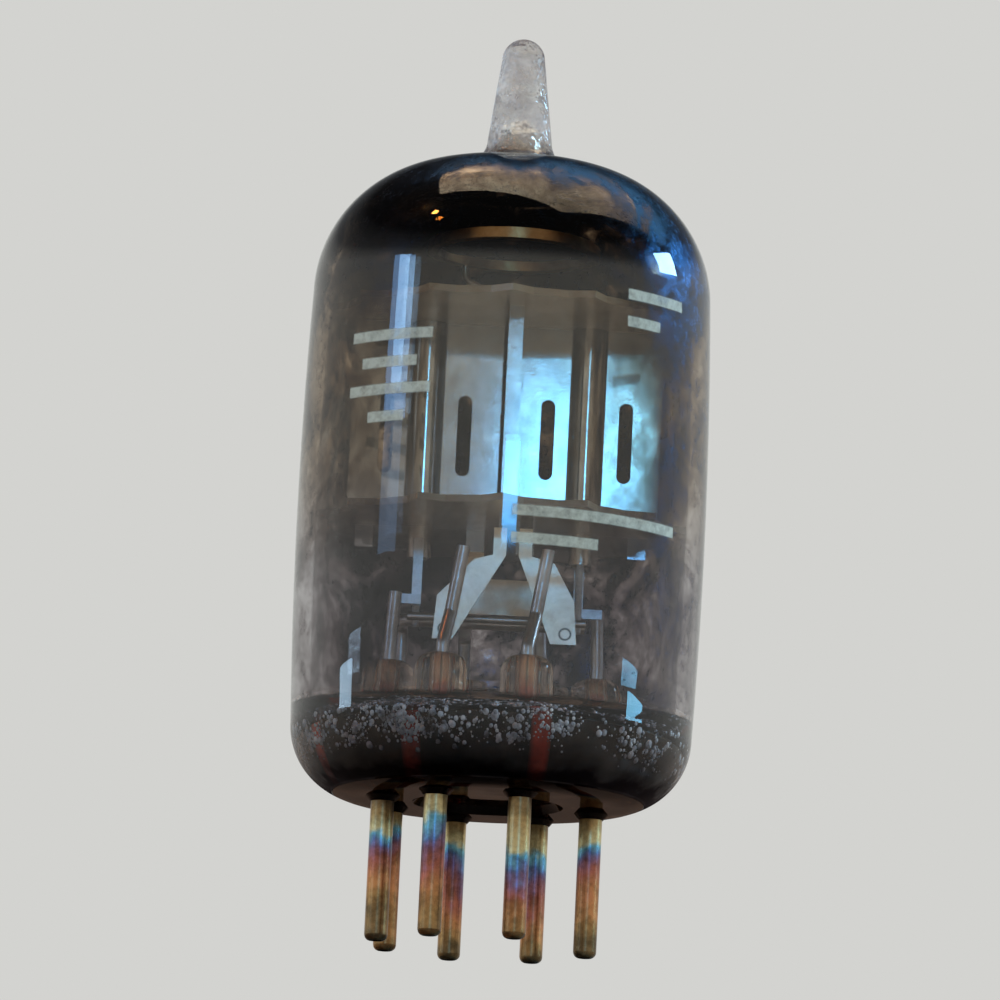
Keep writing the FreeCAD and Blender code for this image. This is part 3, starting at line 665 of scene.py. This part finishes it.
floor_half = 1.5
floor_corners = [(-floor_half, -floor_half, 0), (floor_half, -floor_half, 0)]
floor_corners += [(floor_half, floor_half, 0), (-floor_half, floor_half, 0)]
floor_mesh = bpy.data.meshes.new("floor")
floor_mesh.from_pydata(floor_corners, [], [(0, 1, 2, 3)])
floor_mesh.materials.append(pale_paper())
floor = bpy.data.objects.new("floor", floor_mesh)
bpy.context.collection.objects.link(floor)

world = bpy.data.worlds.new("air")
bpy.context.scene.world = world
world.use_nodes = True
air = world.node_tree
air.nodes.clear()
direction = add_node(air, "TexCoord", output="Generated")
up = add_node(air, "SeparateXYZ", direction, output="Z")
rise = add_node(air, "Math", up, 0.5, 0.5, operation="MULTIPLY_ADD")
room_stops = [(0.3, "#8a8a8a"), (0.45, "#d3d3d0"), (0.64, "#d3d3d0"), (0.7, "#6e7073"), (0.8, "#28282a")]
room = add_node(air, "ValToRGB", rise, stops=room_stops)
add_node(air, "OutputWorld", add_node(air, "Background", room, 1.0))


# Lamps. They are small window-like soft boxes at the sides and in front, a warm one on the left, and a
# broad one overhead that lights the object without showing in the glass.
def soft_box(name, azimuth, elevation, distance, width, height, watts, colour):
    """Area lamp that faces the middle of the tube and stays out of the picture. Angles are in degrees,
    with azimuth 0 in front and 90 on the right, and lengths are in metres."""
    lamp = bpy.data.lights.new(name, "AREA")
    lamp.shape = "RECTANGLE"
    lamp.size = width
    lamp.size_y = height
    lamp.energy = watts
    lamp.color = linear(colour)[:3]
    holder = bpy.data.objects.new(name, lamp)
    holder.visible_camera = False
    bpy.context.collection.objects.link(holder)
    a = math.radians(azimuth)
    e = math.radians(elevation)
    middle = Vector((0, 0, 20 * MM))
    offset = Vector((math.sin(a) * math.cos(e), -math.cos(a) * math.cos(e), math.sin(e))) * distance
    holder.location = middle + offset
    holder.rotation_euler = (-offset).to_track_quat("-Z", "Y").to_euler()
    return holder


soft_box("window_left_upper", -66, 15.6, 0.6, 0.07, 0.055, 0.1, "#9accff")
soft_box("window_left_wide", -66, 15.0, 0.62, 0.15, 0.06, 0.14, "#86bdff")
soft_box("window_left_lower", -66, 10.5, 0.6, 0.12, 0.05, 0.035, "#8fbcf2")
soft_box("window_left_foot", -92, 4.6, 0.6, 0.1, 0.018, 0.045, "#bfe2ff")
soft_box("window_right", 103, 23, 0.6, 0.16, 0.11, 1.6, "#a4d8ff")
soft_box("window_right_low", 88, 4.1, 0.6, 0.13, 0.014, 0.07, "#7fd2ff")
soft_box("window_front", 4.45, 10.0, 0.916, 0.13, 0.052, 0.34, "#56b4ff")
soft_box("lamp_warm", -64, 50, 0.6, 0.03, 0.03, 0.25, "#ff9a42")
overhead = soft_box("overhead", 150, 66, 1.3, 1.5, 1.5, 24.0, "#fff6ea")
overhead.visible_glossy = False


# Camera. It looks up a little from below the seat of the tube, through a long lens, as the photo does.
# Its roll is a compromise for the bulb that leans in the photo.
image_px = 1000
focal_px = 6952
sensor_mm = 36.0
look_up = math.radians(9.45)
roll = math.radians(2.8)
camera_distance = 0.305
camera_data = bpy.data.cameras.new("camera")
camera_data.sensor_width = sensor_mm
camera_data.lens = focal_px / image_px * sensor_mm
camera_data.clip_start = 10 * MM
camera = bpy.data.objects.new("camera", camera_data)
bpy.context.collection.objects.link(camera)
bpy.context.scene.camera = camera
back = -camera_distance * math.cos(look_up)
camera.location = (0, back, 15 * MM - camera_distance * math.sin(look_up))
aim = Vector((-0.1 * MM, 0, 19.9 * MM)) - camera.location
turned = aim.to_track_quat("-Z", "Y").to_matrix() @ Euler((0, 0, roll)).to_matrix()
camera.rotation_euler = turned.to_euler()

bpy.context.scene.view_settings.view_transform = "Standard"
